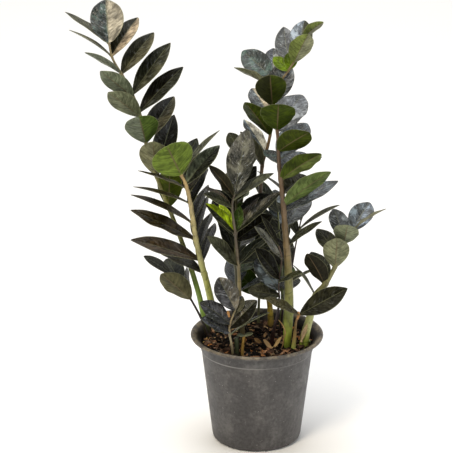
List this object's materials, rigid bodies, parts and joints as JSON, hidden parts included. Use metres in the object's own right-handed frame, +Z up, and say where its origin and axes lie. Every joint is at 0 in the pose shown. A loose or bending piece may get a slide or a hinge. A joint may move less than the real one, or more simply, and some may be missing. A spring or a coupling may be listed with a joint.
{
  "type": "potted zz plant",
  "caption": "Upright leafy plant with dark glossy leaflets on arching fronds, growing from compost in a round tapered plastic nursery pot.",
  "frame": {"origin": "centre of the pot's underside, on the surface it stands on", "axes": "+Z up along the pot's axis; -Y is the show side; +X is to the viewer's right"},
  "size_m": [0.3952, 0.2266, 0.5749],
  "materials": {
    "pot": "matt, dusty",
    "compost": "rough bark chips",
    "rhizome": "matt skin",
    "foliage": "glossy above, satin below",
    "dead_stalk": "dry"
  },
  "bodies": {
    "root": {"pot": "pot", "soil": "compost", "rhizome_left": "rhizome", "rhizome_front": "rhizome", "rhizome_centre": "rhizome", "rhizome_right": "rhizome", "rhizome_back": "rhizome", "frond_tall_left": "foliage", "frond_front_left": "foliage", "frond_centre": "foliage", "frond_tall_right": "foliage", "frond_tall_middle": "foliage", "frond_short_right": "foliage", "frond_low_right": "foliage", "frond_short_front": "foliage", "frond_low_left": "foliage", "frond_thin_centre": "foliage", "frond_thin_right": "foliage", "frond_dark_middle": "foliage", "frond_back_left": "foliage", "frond_back_right": "foliage", "frond_back_low": "foliage", "stub_tan": "dead_stalk", "stub_dark": "foliage", "stub_right": "foliage"}
  },
  "joints": []
}
